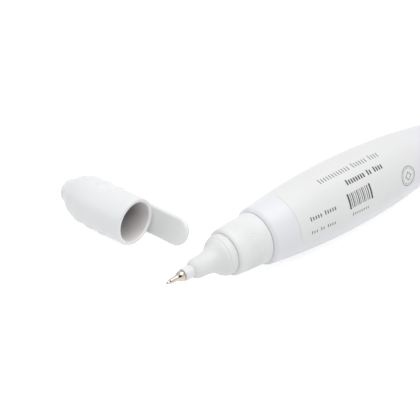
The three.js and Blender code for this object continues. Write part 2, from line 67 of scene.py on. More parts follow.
# %% Axes of pen and cap
MM = 0.001
NECK_RIM = -8.05
low, high = (np.array(v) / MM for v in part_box("bottle"))
AXIS_Y = (low[1] + high[1]) / 2
AXIS_Z = (low[2] + high[2]) / 2
PEN = Matrix.Translation((low[0] - NECK_RIM, AXIS_Y, AXIS_Z))

CAP_TURN = math.radians(97)
CAP_R = 7.6
low, high = (np.array(v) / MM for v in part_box("cap_end_plug"))
cap_end = np.array([(low[0] + high[0]) / 2, (low[1] + high[1]) / 2])
END_PLUG_MIDDLE = 26.82
CAP = Matrix.Translation((
    cap_end[0] - END_PLUG_MIDDLE * math.cos(CAP_TURN),
    cap_end[1] - END_PLUG_MIDDLE * math.sin(CAP_TURN),
    (low[2] + high[2]) / 2,
)) @ Matrix.Rotation(CAP_TURN, 4, "Z")
CLIP_ROLL = math.radians(23)
print("pen starts at", [round(v, 2) for v in PEN.translation], "mm")
print("cap's mouth is at", [round(v, 2) for v in CAP.translation], "mm")

# %% [markdown]
# ## Turned shapes
# Almost every piece of a pen is turned or moulded round, so one function makes them all.
# It takes the half-section as a line of points and spins it round the axis.
# A Screw modifier could do this too, but points made in code can be rounded before the turn.
# Real moulded plastic has no knife edges, so each corner of the line is softened first.

# %% Lathe


def softened(points, radius, steps=4):
    """The line with each inner corner rounded by up to that radius."""
    points = [Vector(p) for p in points]
    out = [points[0]]
    for before, corner, after in zip(points, points[1:], points[2:]):
        back, ahead = before - corner, after - corner
        reach = min(radius, back.length * 0.45, ahead.length * 0.45)
        straight = back.normalized().dot(ahead.normalized()) < -0.995
        if reach < 1e-4 or straight:
            out.append(corner)
            continue
        start = corner + back.normalized() * reach
        end = corner + ahead.normalized() * reach
        for i in range(steps + 1):
            t = i / steps
            out.append(start * (1 - t) ** 2 + corner * 2 * t * (1 - t) + end * t * t)
    out.append(points[-1])
    return out


def finish_mesh(name, bm, place, smooth_angle=40):
    """Puts a mesh drawn in millimetres into the shared frame, faces out and softly shaded."""
    bmesh.ops.remove_doubles(bm, verts=bm.verts, dist=1e-5)
    bmesh.ops.recalc_face_normals(bm, faces=bm.faces)
    bm.transform(Matrix.Scale(MM, 4) @ place)
    mesh = bpy.data.meshes.new(name)
    bm.to_mesh(mesh)
    bm.free()
    mesh.shade_smooth()
    mesh.set_sharp_from_angle(angle=math.radians(smooth_angle))
    obj = bpy.data.objects.new(name, mesh)
    bpy.context.scene.collection.objects.link(obj)
    return obj


def joined(bm, rings):
    """A skin of faces from each closed ring of points to the next."""
    for one, two in zip(rings, rings[1:]):
        for k in range(len(one)):
            n = (k + 1) % len(one)
            bm.faces.new((one[k], one[n], two[n], two[k]))


def closed_ends(bm, rings):
    """One face over the first ring and one over the last."""
    bm.faces.new(rings[0])
    bm.faces.new(list(reversed(rings[-1])))


def lathe_mesh(profile, sides, closed):
    """The line of (station, radius) points, spun round the X axis."""
    bm = bmesh.new()
    rings = []
    for station, radius in profile:
        ring = []
        for k in range(sides):
            a = 2 * math.pi * k / sides
            ring.append(bm.verts.new((station, radius * math.cos(a), radius * math.sin(a))))
        rings.append(ring)
    joined(bm, rings + rings[:1] if closed else rings)
    bmesh.ops.remove_doubles(bm, verts=bm.verts, dist=1e-6)
    bmesh.ops.dissolve_degenerate(bm, edges=bm.edges, dist=1e-6)
    return bm


def lathe(name, profile, place, sides, radius, closed=False):
    """A turned piece whose corners are rounded by up to the radius."""
    if closed:
        middle = (Vector(profile[0]) + Vector(profile[-1])) / 2
        line = softened([middle, *profile, middle], radius)[:-1]
    else:
        line = softened(profile, radius)
    bm = lathe_mesh([(p[0], max(p[1], 0)) for p in line], sides, closed)
    return finish_mesh(name, bm, place)


def shell(name, outer, inner, place, **how):
    """A turned shell from its outer and inner lines, both from front to rear."""
    return lathe(name, [*outer, *reversed(inner)], place, closed=True, **how)


def dressed(obj, body, node, material):
    """The piece stands for a CAD node, moves with its body and has its finish."""
    obj.data.materials.clear()
    obj.data.materials.append(material)
    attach(obj, body)
    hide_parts(node)
    print("made", obj.name, len(obj.data.polygons), "faces, rides on", body)


# %% [markdown]
# ## Materials
# The bottle is soft polyethylene: milky, satin, never quite smooth, with a faint orange-peel skin.
# The collar, nozzle and cap are harder mouldings with a slightly tighter gloss.
# One flat colour would look like plain paint, so noise varies colour and gloss a little and adds
# a fine bump. The noise reads Object coordinates, so it has the same grain size on every piece.

# %% Noise and ramps


def nodes_of(name):
    material = bpy.data.materials.new(name)
    material.use_nodes = True
    tree = material.node_tree
    shader = tree.nodes["Principled BSDF"]
    return material, tree, shader


def noise(tree, scale, detail, stretch=(1, 1, 1)):
    """Soft noise on Object coordinates, in metres."""
    coords = tree.nodes.new("ShaderNodeTexCoord")
    mapping = tree.nodes.new("ShaderNodeMapping")
    mapping.inputs["Scale"].default_value = stretch
    texture = tree.nodes.new("ShaderNodeTexNoise")
    texture.inputs["Scale"].default_value = scale
    texture.inputs["Detail"].default_value = detail
    tree.links.new(coords.outputs["Object"], mapping.inputs["Vector"])
    tree.links.new(mapping.outputs["Vector"], texture.inputs["Vector"])
    return texture


def ramp(tree, source, dark, light):
    """Two colours, blended over the middle third of the source's range."""
    node = tree.nodes.new("ShaderNodeValToRGB")
    node.color_ramp.elements[0].position = 0.35
    node.color_ramp.elements[1].position = 0.65
    node.color_ramp.elements[0].color = dark
    node.color_ramp.elements[1].color = light
    tree.links.new(source, node.inputs["Fac"])
    return node


def spread(tree, source, low, high):
    """The source's values from 0 to 1, spread from low to high."""
    node = tree.nodes.new("ShaderNodeMapRange")
    node.inputs["To Min"].default_value = low
    node.inputs["To Max"].default_value = high
    tree.links.new(source, node.inputs["Value"])
    return node


# %% Plastic finish
CLOUD_SCALE, GLOSS_SCALE = 70, 260
BUMP_DEPTH = 0.0002


def plastic(name, colour, rough, skin=0.03, skin_scale=900, tint=0.97):
    """Moulded plastic. Colour is linear, skin is the strength of its fine bump."""
    material, tree, shader = nodes_of(name)
    cloudy = noise(tree, CLOUD_SCALE, 2)
    darker = tuple(c * tint for c in colour)
    colours = ramp(tree, cloudy.outputs["Fac"], (*darker, 1), (*colour, 1))
    tree.links.new(colours.outputs["Color"], shader.inputs["Base Color"])
    gloss = noise(tree, GLOSS_SCALE, 3, (1, 1.6, 1.6))
    span = spread(tree, gloss.outputs["Fac"], rough - 0.05, rough + 0.05)
    tree.links.new(span.outputs["Result"], shader.inputs["Roughness"])
    fine = noise(tree, skin_scale, 2)
    bump = tree.nodes.new("ShaderNodeBump")
    bump.inputs["Strength"].default_value = skin
    bump.inputs["Distance"].default_value = BUMP_DEPTH
    tree.links.new(fine.outputs["Fac"], bump.inputs["Height"])
    tree.links.new(bump.outputs["Normal"], shader.inputs["Normal"])
    return material


def painted_shade_with_depth(material, deep_share, start, end):
    """Paints shade into the colour: dims it from 1 to deep_share, from depth start to depth end in
    mm.
    """
    tree = material.node_tree
    shader = tree.nodes["Principled BSDF"]
    colour = shader.inputs["Base Color"].links[0].from_socket
    depth = tree.nodes.new("ShaderNodeAttribute")
    depth.attribute_name = "depth"
    share = spread(tree, depth.outputs["Fac"], 1.0, deep_share)
    share.inputs["From Min"].default_value = start
    share.inputs["From Max"].default_value = end
    dimmed = tree.nodes.new("ShaderNodeVectorMath")
    dimmed.operation = "SCALE"
    tree.links.new(colour, dimmed.inputs[0])
    tree.links.new(share.outputs["Result"], dimmed.inputs["Scale"])
    tree.links.new(dimmed.outputs["Vector"], shader.inputs["Base Color"])


# %% Metal finish
STREAK_SCALE = 700


def metal(name, colour, rough, grain=(1, 12, 12)):
    """Drawn or polished metal with faint lines along the piece."""
    material, tree, shader = nodes_of(name)
    shader.inputs["Metallic"].default_value = 1.0
    streaks = noise(tree, STREAK_SCALE, 3, grain)
    darker = tuple(c * 0.82 for c in colour)
    colours = ramp(tree, streaks.outputs["Fac"], (*darker, 1), (*colour, 1))
    tree.links.new(colours.outputs["Color"], shader.inputs["Base Color"])
    span = spread(tree, streaks.outputs["Fac"], rough * 0.7, rough * 1.4)
    tree.links.new(span.outputs["Result"], shader.inputs["Roughness"])
    bump = tree.nodes.new("ShaderNodeBump")
    bump.inputs["Strength"].default_value = 0.04
    bump.inputs["Distance"].default_value = 0.00005
    tree.links.new(streaks.outputs["Fac"], bump.inputs["Height"])
    tree.links.new(bump.outputs["Normal"], shader.inputs["Normal"])
    return material


# %% [markdown]
# ### The finishes
# A white pen has many whites: the bottle leans to blue, the collar to green, and the inside of
# the cap to pink. Its metal is a warm steel, which shows mostly what it mirrors.

# %% Finishes of this pen
bottle_white = plastic("bottle_white", (0.782, 0.786, 0.808), 0.36, skin=0.05, skin_scale=600)
collar_white = plastic("collar_white", (0.79, 0.80, 0.79), 0.48, skin=0.04)
nozzle_white = plastic("nozzle_white", (0.765, 0.765, 0.76), 0.5)
tip_white = plastic("tip_white", (0.79, 0.795, 0.80), 0.36)
cap_white = plastic("cap_white", (0.765, 0.768, 0.772), 0.38, skin=0.04)
cap_inside = plastic("cap_inside", (0.795, 0.765, 0.76), 0.35)
# Painted shade: the inside's colour is dimmed deeper in the cup, where less light gets in.
painted_shade_with_depth(cap_inside, 0.47, 1.0, 10.5)
clip_white = plastic("clip_white", (0.765, 0.77, 0.77), 0.38)
film_white = plastic(
    "film_white", (0.79, 0.788, 0.785), 0.5, skin=0.02, skin_scale=1500, tint=0.985
)
print_ink = plastic("print_ink", (0.045, 0.045, 0.05), 0.6, tint=0.9)
gasket_grey = plastic("gasket_grey", (0.55, 0.54, 0.52), 0.75)
seal_soft = plastic("seal_soft", (0.50, 0.46, 0.45), 0.8)
inner_plastic = plastic("inner_plastic", (0.68, 0.68, 0.67), 0.5)
ferrule_metal = metal("ferrule_metal", (0.58, 0.53, 0.455), 0.11)
needle_steel = metal("needle_steel", (0.4, 0.37, 0.33), 0.15)
spring_steel = metal("spring_steel", (0.55, 0.56, 0.57), 0.25)
ball_steel = metal("ball_steel", (0.62, 0.63, 0.64), 0.12, (1, 1, 1))
print("made", len(bpy.data.materials), "materials, with those of the CAD part")

# %% [markdown]
# ## Bottle
# A squeeze bottle is blow moulded: its long sides follow one gentle arc, fattest a third of the
# way back. Its shoulder turns in tightly to the neck, and its closed end has a small flat.
# A narrow bevel runs round the shoulder beside the collar. The arc is a function of the station,
# because the label and its print have to lie on the very same curve.

# %% Bottle
BOTTLE_R = 11.385
BULGE_AT = 35.5
ARC_RADIUS = 245.0
TAIL_END = 87.5
BOTTLE_WALL = 1.1
NECK_R, NECK_BORE_R = 5.64, 4.5
SIDES = 144


def bottle_radius(s):
    """Outer radius of the long arc."""
    return BOTTLE_R - (s - BULGE_AT) ** 2 / (2 * ARC_RADIUS)


def run(first, last, count):
    """Evenly spaced values, with both ends."""
    return [first + (last - first) * i / (count - 1) for i in range(count)]


outer = [
    (NECK_RIM, NECK_R),
    (0.3, NECK_R),
    (0.3, 8.1),
    (0.95, 8.86),
    (1.3, 9.06),
    (2.1, 9.14),
    *[(s, bottle_radius(s)) for s in run(3.4, 85.6, 60)],
    (86.7, 5.8),
    (TAIL_END, 4.7),
    (TAIL_END, 0),
]
inner = [
    (85.9, 0),
    (85.9, 3.8),
    *[(s, bottle_radius(s) - BOTTLE_WALL) for s in run(84, 3, 24)],
    (1.6, 7.2),
    (1.6, NECK_BORE_R),
    (NECK_RIM, NECK_BORE_R),
    (NECK_RIM, NECK_R),
]
bottle = lathe("bottle_body", outer + inner, PEN, SIDES, 0.25)
dressed(bottle, "pen", "bottle", bottle_white)

# %% [markdown]
# ## Collar
# The collar is the screw ring that clamps the nozzle on the neck.
# It flares a little towards the bottle and has a smooth band at each edge. The ring is turned
# plain here, because its fine ribs are easier to make one by one than to carve.

# %% Collar ring
COLLAR_FRONT, COLLAR_REAR = -12.0, 0.22
COLLAR_REAR_R = 8.08
COLLAR_HOLE_R, COLLAR_BORE_R = 5.75, 6.55
COLLAR_WALL_REAR = -10.65


def collar_radius(s):
    """Outer radius: nearly straight, flaring in its last third."""
    t = (s + 11.4) / 11.2
    return 7.36 + 0.45 * t + 0.27 * max(0, t) ** 5


outer = [
    (COLLAR_FRONT, 6.35),
    (-11.9, 6.75),
    (-11.65, 7.06),
    (-11.3, 7.26),
    *[(s, collar_radius(s) - 0.02) for s in run(-10.8, -0.25, 13)],
    (COLLAR_REAR, COLLAR_REAR_R - 0.3),
]
inner = [
    (COLLAR_FRONT, COLLAR_HOLE_R),
    (COLLAR_WALL_REAR, COLLAR_HOLE_R),
    (COLLAR_WALL_REAR, COLLAR_BORE_R),
    (COLLAR_REAR, COLLAR_BORE_R),
]
collar = shell("collar_ring", outer, inner, PEN, sides=SIDES, radius=0.25)
dressed(collar, "collar", "collar", collar_white)

# %% [markdown]
# ### The ribs, by Geometry Nodes
# Fine ribs for grip run along the collar. They follow a rule, so Geometry Nodes makes them:
# the group sets one rounded rib on as many points as its input Rib count says, turns each copy
# by its share of a full turn, makes the copies real and gives them their material.
# The result becomes a plain mesh, because copies that aren't real would be lost on export.

# %% Group for ribs


def rib_group(name, rib, material, count):
    """A tree that repeats the rib round the X axis. Also gives its input's identifier."""
    group = bpy.data.node_groups.new(name, "GeometryNodeTree")
    face = group.interface
    face.new_socket("Geometry", in_out="INPUT", socket_type="NodeSocketGeometry")
    ribs_in = face.new_socket("Rib count", in_out="INPUT", socket_type="NodeSocketInt")
    ribs_in.default_value = count
    face.new_socket("Geometry", in_out="OUTPUT", socket_type="NodeSocketGeometry")
    n, link = group.nodes.new, group.links.new
    given, made = n("NodeGroupInput"), n("NodeGroupOutput")
    line = n("GeometryNodeMeshLine")
    line.inputs["Offset"].default_value = (0, 0, 0)
    link(given.outputs["Rib count"], line.inputs["Count"])
    index, share, turn = n("GeometryNodeInputIndex"), n("ShaderNodeMath"), n("ShaderNodeMath")
    share.operation, turn.operation = "DIVIDE", "MULTIPLY"
    turn.inputs[1].default_value = 2 * math.pi
    link(index.outputs["Index"], share.inputs[0])
    link(given.outputs["Rib count"], share.inputs[1])
    link(share.outputs["Value"], turn.inputs[0])
    spin = n("ShaderNodeCombineXYZ")
    link(turn.outputs["Value"], spin.inputs["X"])
    info = n("GeometryNodeObjectInfo")
    info.inputs["Object"].default_value = rib
    copies = n("GeometryNodeInstanceOnPoints")
    link(line.outputs["Mesh"], copies.inputs["Points"])
    link(info.outputs["Geometry"], copies.inputs["Instance"])
    link(spin.outputs["Vector"], copies.inputs["Rotation"])
    real, paint = n("GeometryNodeRealizeInstances"), n("GeometryNodeSetMaterial")
    paint.inputs["Material"].default_value = material
    link(copies.outputs["Instances"], real.inputs["Geometry"])
    link(real.outputs["Geometry"], paint.inputs["Geometry"])
    link(paint.outputs["Geometry"], made.inputs["Geometry"])
    return group, ribs_in.identifier


def ring_of(name, rib, material, count, place):
    """One rib, drawn at the top of its circle, repeated round the X axis and put in place."""
    group, socket = rib_group(name + "_nodes", rib, material, count)
    holder = bpy.data.objects.new(name, bpy.data.meshes.new(name))
    bpy.context.scene.collection.objects.link(holder)
    modifier = holder.modifiers.new("ribs", "NODES")
    modifier.node_group = group
    modifier[socket] = count
    bpy.context.view_layer.update()
    seen = holder.evaluated_get(bpy.context.evaluated_depsgraph_get())
    mesh = bpy.data.meshes.new_from_object(seen)
    holder.modifiers.remove(modifier)
    holder.data = mesh
    mesh.transform(Matrix.Scale(MM, 4) @ place)
    mesh.shade_smooth()
    bpy.data.objects.remove(rib)
    print(name, "has", count, "copies,", len(mesh.polygons), "faces")
    return holder


# %% Collar ribs


def rib_along(stations, radius_at, half_width, height, sink):
    """A low rounded ridge along the axis, following a radius that changes with the station."""
    section = [
        (-1.0, -sink),
        (-0.8, 0.35),
        (-0.35, 0.85),
        (0, 1.0),
        (0.35, 0.85),
        (0.8, 0.35),
        (1.0, -sink),
    ]
    bm = bmesh.new()
    rows = []
    last = len(stations) - 1
    for i, s in enumerate(stations):
        fade = min(1.0, 2.5 * min(i, last - i) / last + 0.02)
        row = []
        for w, h in section:
            rise = h * height * (fade if h > 0 else 1)
            row.append(bm.verts.new((s, w * half_width, radius_at(s) + rise)))
        rows.append(row)
    joined(bm, rows)
    closed_ends(bm, rows)
    bmesh.ops.recalc_face_normals(bm, faces=bm.faces)
    mesh = bpy.data.meshes.new("rib")
    bm.to_mesh(mesh)
    bm.free()
    obj = bpy.data.objects.new("rib", mesh)
    bpy.context.scene.collection.objects.link(obj)
    return obj


RIBS = 84
RIB_HALF_WIDTH, RIB_HEIGHT, RIB_SINK = 0.26, 0.12, 1.5


def rib_foot(s):
    """The ribs stand just under the collar's surface, so no gap shows."""
    return collar_radius(s) - 0.04


rib = rib_along(run(-10.3, -1.1, 12), rib_foot, RIB_HALF_WIDTH, RIB_HEIGHT, RIB_SINK)
ribs = ring_of("collar_ribs", rib, collar_white, RIBS, PEN)
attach(ribs, "collar")

# %% [markdown]
# ### The nib
# A tiny tab at the collar's rear edge marks where the mould was filled.
# A squeezed ball, half sunk in the collar, is enough for something this small.

# %% Collar nib
NIB_TURN = math.radians(88)
bm = bmesh.new()
bmesh.ops.create_icosphere(bm, subdivisions=3, radius=1)
bm.transform(
    Matrix.Rotation(NIB_TURN, 4, "X")
    @ Matrix.Translation((-0.2, 0, 7.75))
    @ Matrix.Diagonal((0.42, 0.42, 0.32, 1))
)
nib = finish_mesh("collar_nib", bm, PEN)
nib.data.materials.append(collar_white)
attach(nib, "collar")
print("made", nib.name, len(nib.data.polygons), "faces")

# %% [markdown]
# ## Nozzle
# The nozzle flares like a trumpet from a narrow bead to a broad lip, and the cap grips that lip.
# Behind the lip a dark groove shows where the nozzle passes through the collar's front wall.
# Its line is drawn point by point, because no simple rule gives a flare and a lip in one.
# A soft gasket ring closes the joint to the bottle's rim.

# %% Nozzle
LIP_R = 6.2
NOZZLE_FRONT, NOZZLE_REAR = -25.1, -3.5
NOZZLE_BORE_R, NOZZLE_CHAMBER_R = 2.15, 3.1
outer = [
    (NOZZLE_FRONT, 2.04),
    (-24.95, 2.2),
    (-24.65, 2.48),
    (-24.2, 2.78),
    (-23.6, 3.0),
    (-22.9, 3.1),
    (-21.5, 3.14),
    (-20, 3.23),
    (-19, 3.38),
    (-18, 3.65),
    (-17.2, 4.02),
    (-16.5, 4.5),
    (-15.9, 5.0),
    (-15.4, 5.42),
    (-15.05, 5.65),
    (-14.75, 5.73),
    (-14.58, 5.74),
    (-14.48, 5.9),
    (-14.25, 6.08),
    (-13.85, LIP_R),
    (-12.25, LIP_R),
    (-12.06, LIP_R - 0.1),
    (-12.06, 5.45),
    (-10.35, 5.45),
    (-10.35, 6.25),
    (-9.35, 6.25),
    (-9.35, 4.2),
    (NOZZLE_REAR, 4.2),
]
inner = [
    (NOZZLE_FRONT, 2.03),
    (-24, 2.03),
    (-23.8, NOZZLE_BORE_R),
    (-13, NOZZLE_BORE_R),
    (-13, NOZZLE_CHAMBER_R),
    (NOZZLE_REAR, NOZZLE_CHAMBER_R),
]
nozzle = shell("nozzle_body", outer, inner, PEN, sides=SIDES, radius=0.3)
dressed(nozzle, "front", "nozzle", nozzle_white)

GASKET_FRONT, GASKET_REAR = -9.05, -8.35
outer = [(GASKET_FRONT, 6.1), (GASKET_REAR, 6.1)]
inner = [(GASKET_FRONT, NECK_BORE_R), (GASKET_REAR, NECK_BORE_R)]
gasket = shell("gasket_ring", outer, inner, PEN, sides=64, radius=0.2)
dressed(gasket, "front", "nozzle_gasket", gasket_grey)

# %% [markdown]
# ## Sleeve and ferrule
# A thin white sleeve carries the metal ferrule, whose foot narrows like a cone to a short tube.
# The end of the tube is drawn in like a second cone to a snout round the needle's pin.
# Real ferrules are drawn from sheet, so the corners are rounded and the metal is polished.

# %% Sleeve and ferrule
outer = [(-28.2, 1.7), (-28.05, 1.95), (-12.7, 2.0), (-12.7, 2.8), (-11.7, 2.8)]
inner = [(-28.2, 1.4), (-11.7, 1.4)]
sleeve = shell("tip_sleeve", outer, inner, PEN, sides=72, radius=0.12)
dressed(sleeve, "front", "tip_holder", tip_white)

FERRULE_FRONT, FERRULE_REAR = -33.85, -25.0
FERRULE_BORE_R, FERRULE_FOOT_R = 0.27, 1.6
outer = [
    (FERRULE_FRONT, 0.3),
    (-33.8, 0.38),
    (-33.5, 0.44),
    (-33.35, 0.48),
    (-32.9, 0.74),
    (-32.65, 0.8),
    (-31.2, 0.8),
    (-30.8, 0.84),
    (-30.5, 0.91),
    (-30.25, 1.0),
    (-29.9, 1.25),
    (-29.6, 1.43),
    (-29.3, 1.55),
    (-29.0, FERRULE_FOOT_R),
    (-28.35, FERRULE_FOOT_R),
    (-28.35, 1.25),
    (FERRULE_REAR, 1.25),
]
inner = [(FERRULE_FRONT, FERRULE_BORE_R), (FERRULE_REAR, FERRULE_BORE_R)]
ferrule = shell("ferrule_tube", outer, inner, PEN, sides=64, radius=0.12)
dressed(ferrule, "front", "tip_ferrule", ferrule_metal)

# %% [markdown]
# ## Valve needle
# The needle is a long pin with a collar. Its rounded end shows at the ferrule's mouth.
# Pressing it on the work pushes it in, and a little paint flows past it.

# %% Needle and its collar
PIN_R = 0.225
PIN_REAR = -12.4
tip_line = [(-34.5, 0), (-34.46, 0.1), (-34.3, 0.2), (-34.15, PIN_R)]
needle = lathe("needle_pin", [*tip_line, (PIN_REAR, PIN_R), (PIN_REAR, 0)], PEN, 32, 0.05)
dressed(needle, "needle", "valve_needle", needle_steel)

outer = [(-22.2, 0.9), (-22.0, 1.1), (-21.5, 1.1)]
inner = [(-22.2, 0.325), (-21.5, 0.325)]
head = shell("needle_collar", outer, inner, PEN, sides=48, radius=0.08)
dressed(head, "needle", "needle_head", inner_plastic)

# %% [markdown]
# ### Valve spring and its seat
# A spring is a wire on a helix. A curve with a bevel could draw it, but here each ring of the
# wire is set square to the helix in code, so that the mesh is closed and evenly divided.
# It shortens towards its seat as the needle is pressed in, so it is squashed by that joint.
# The seat is a small disc with holes for the paint, and the CAD solid is right as it is.

# %% Valve spring
COILS, SPRING_R, WIRE_R = 8, 1.0, 0.15
SPRING_FRONT, SPRING_LENGTH = -21.0, 7.1
WIRE_SLOPE, WIRE_SIDES, STEPS_A_COIL = 0.14, 10, 28
bm = bmesh.new()
rows = []
steps = COILS * STEPS_A_COIL
for i in range(steps + 1):
    t = i / steps
    a = 2 * math.pi * COILS * t
    out = Vector((0, math.cos(a), math.sin(a)))
    along = Vector((WIRE_SLOPE, -math.sin(a), math.cos(a))).normalized()
    side = along.cross(out)
    centre = Vector((SPRING_FRONT + SPRING_LENGTH * t, 0, 0)) + out * SPRING_R
    ring = []
    for k in range(WIRE_SIDES):
        b = 2 * math.pi * k / WIRE_SIDES
        ring.append(bm.verts.new(centre + WIRE_R * (out * math.cos(b) + side * math.sin(b))))
    rows.append(ring)
joined(bm, rows)
closed_ends(bm, rows)
spring = finish_mesh("spring_coil", bm, PEN, 60)
dressed(spring, "front", "valve_spring", spring_steel)
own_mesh(spring)

# %% Spring seat
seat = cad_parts["spring_seat"]
seat.data.materials.clear()
seat.data.materials.append(inner_plastic)
print("the seat keeps its CAD mesh of", len(seat.data.polygons), "faces")

# %% [markdown]
# ### Mixing ball
# Underglaze settles, so a steel ball inside stirs it when the pen is shaken.
# An icosphere has even faces all over, where a UV sphere would crowd them at its poles.

# %% Mixing ball
BALL_R = 2.48
low, high = (Vector(v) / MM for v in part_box("mixing_ball"))
bm = bmesh.new()
bmesh.ops.create_icosphere(bm, subdivisions=4, radius=BALL_R)
ball = finish_mesh("ball_steel_sphere", bm, Matrix.Translation((low + high) / 2))
dressed(ball, "ball", "mixing_ball", ball_steel)

# %% [markdown]
# ## Label
# The label is a printed film wrapped round one side of the bottle, from just past the top
# to near the underside.
# It is built on the bottle's own surface from stations along the pen and angles round it,
# so it lies on the bulge like a real wrapped film. Angle 0 is straight up.
# A Shrinkwrap modifier could lay a flat sheet there too, but would stretch it on the bulge.

# %% Label film
LABEL_FRONT, LABEL_REAR, LABEL_CORNER = 9.3, 66.2, 3.0
FILM_LIFT, FILM_THICK = 0.03, 0.09


def label_top(s):
    """Angle of the upper edge. It slopes, because a flat film can't follow the bulge."""
    return -15.2 - 0.09 * (s - 11.7)


def label_bottom(s):
    """Angle of the lower edge."""
    return 99.3 - 0.222 * (s - 14)


def on_bottle(s, angle, lift):
    """The point over the bottle's skin at that station and angle."""
    a = math.radians(angle)
    r = bottle_radius(s) + lift
    return Vector((s, -r * math.sin(a), r * math.cos(a)))


def wrapped(bm, columns, lift, thickness):
    """A closed thin patch. Each column is (station, list of angles)."""
    upper, lower = [], []
    for s, angles in columns:
        upper.append([bm.verts.new(on_bottle(s, a, lift + thickness)) for a in angles])
        lower.append([bm.verts.new(on_bottle(s, a, lift)) for a in angles])
    for i in range(len(columns) - 1):
        for k in range(len(columns[i][1]) - 1):
            a, b, c, d = upper[i][k], upper[i + 1][k], upper[i + 1][k + 1], upper[i][k + 1]
            bm.faces.new((a, b, c, d))
            a, b, c, d = lower[i][k], lower[i + 1][k], lower[i + 1][k + 1], lower[i][k + 1]
            bm.faces.new((d, c, b, a))
        for k in (0, -1):
            bm.faces.new((upper[i][k], lower[i][k], lower[i + 1][k], upper[i + 1][k]))
    for i in (0, -1):
        for k in range(len(columns[i][1]) - 1):
            bm.faces.new((upper[i][k], upper[i][k + 1], lower[i][k + 1], lower[i][k]))


def corner_inset(s):
    """How far the edge stands back, in millimetres, inside the rounded corners."""
    near = min(s - LABEL_FRONT, LABEL_REAR - s)
    if near >= LABEL_CORNER:
        return 0.0
    return LABEL_CORNER - math.sqrt(max(0.0, LABEL_CORNER**2 - (LABEL_CORNER - near) ** 2))


corner_steps = [LABEL_CORNER * (1 - math.cos(math.pi / 2 * i / 8)) for i in range(9)]
stations = [LABEL_FRONT + c for c in corner_steps]
stations += run(LABEL_FRONT + LABEL_CORNER, LABEL_REAR - LABEL_CORNER, 50)[1:-1]
stations += [LABEL_REAR - c for c in reversed(corner_steps)]
columns = []
for s in stations:
    inset = math.degrees(corner_inset(s) / bottle_radius(s))
    columns.append((s, run(label_top(s) + inset, label_bottom(s) - inset, 49)))
bm = bmesh.new()
wrapped(bm, columns, FILM_LIFT, FILM_THICK)
label = finish_mesh("label_wrap", bm, PEN, 50)
dressed(label, "pen", "label", film_white)

# %% [markdown]
# ### The print
# Ink lies on the film with no height worth feeling. Each mark is a very thin patch of its own,
# placed by station and angle, so it bends with the film and stays sharp at any size.
# The marks are plain: rows of short upright ticks, a block of bars and a ring.

# %% Rows of ticks
INK_LIFT, INK_THICK = 0.125, 0.02
marks = bmesh.new()


def bar(s0, s1, angle0, angle1):
    """A straight printed bar between two stations and two angles."""
    angles = run(angle0, angle1, max(4, round(abs(angle1 - angle0) / 1.5) + 1))
    columns = [(s, angles) for s in run(s0, s1, max(2, round(s1 - s0) + 1))]
    wrapped(marks, columns, INK_LIFT, INK_THICK)


def row_of_ticks(s0, s1, top, base, pitch, width, slant, groups):
    """A row of short upright ticks. The slant turns its far end, and groups sets its gaps."""
    s, group, done = s0, 0, 0
    while s + width <= s1:
        turn = slant * (s - s0) / (s1 - s0)
        taller = 0 if done else 0.25 * (base - top)
        bar(s, s + width, top + turn - taller, base + turn)
        s += pitch
        done += 1
        if done == groups[group % len(groups)]:
            s += pitch * 0.9
            done, group = 0, group + 1


row_of_ticks(23.2, 49.1, 11.9, 19.9, 1.06, 0.24, 2.5, (12, 6, 4))
row_of_ticks(30.8, 46.8, 34.2, 41.4, 1.0, 0.5, 1.0, (8, 2, 5))
row_of_ticks(29.7, 36.7, 84.9, 88.9, 0.9, 0.26, 0.5, (9,))
row_of_ticks(13.6, 23.7, 60.4, 65.9, 0.95, 0.36, 0.5, (5, 5))
row_of_ticks(13.3, 23.1, 83.4, 87.9, 0.9, 0.26, 0.5, (3, 2, 5))
print("rows of ticks:", len(marks.faces), "faces")

# %% Plain bars
BARS, BAR_PITCH, FIRST_BAR = 11, 0.72, 29.75
BAR_WIDTHS = (0.22, 0.34, 0.16)
END_BAR_WIDTH = 0.6
for s in (28.7, 37.9):
    bar(s, s + END_BAR_WIDTH, 52.8, 76.8)
for k in range(BARS):
    s = FIRST_BAR + BAR_PITCH * k
    bar(s, s + BAR_WIDTHS[k % 3], 53.3, 75.8)
print("with the bars:", len(marks.faces), "faces")

# %% Plain ring
RING_AT = (55.2, 73.9)
RING_TICKS, RING_TICK_R = 24, 2.5


def printed_ring(centre, angle, radius, width, steps=40):
    """A plain printed ring, as wide across the curve as it is long."""
    pairs = []
    for i in range(steps):
        a = 2 * math.pi * i / steps
        pair = []
        for r in (radius - width / 2, radius + width / 2):
            s = centre + r * math.cos(a)
            turn = math.degrees(r * math.sin(a) / bottle_radius(s))
            lifts = (INK_LIFT, INK_LIFT + INK_THICK)
            pair.append([marks.verts.new(on_bottle(s, angle + turn, lift)) for lift in lifts])
        pairs.append(pair)
    for one, two in zip(pairs, pairs[1:] + pairs[:1]):
        (a0, a1), (b0, b1) = one
        (c0, c1), (d0, d1) = two
        marks.faces.new((a1, b1, d1, c1))
        marks.faces.new((a0, c0, d0, b0))
        marks.faces.new((a0, a1, c1, c0))
        marks.faces.new((b0, d0, d1, b1))


printed_ring(*RING_AT, 3.05, 0.15)
printed_ring(*RING_AT, 1.3, 0.26, 4)
for k in range(RING_TICKS):
    turn = 2 * math.pi * k / RING_TICKS
    s = RING_AT[0] + RING_TICK_R * math.cos(turn)
    angle = RING_AT[1] + math.degrees(RING_TICK_R * math.sin(turn) / bottle_radius(s))
    bar(s - 0.1, s + 0.1, angle - 0.7, angle + 0.7)
ink = finish_mesh("label_print", marks, PEN, 50)
ink.data.materials.append(print_ink)
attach(ink, "pen")
print("made", ink.name, len(ink.data.polygons), "faces")
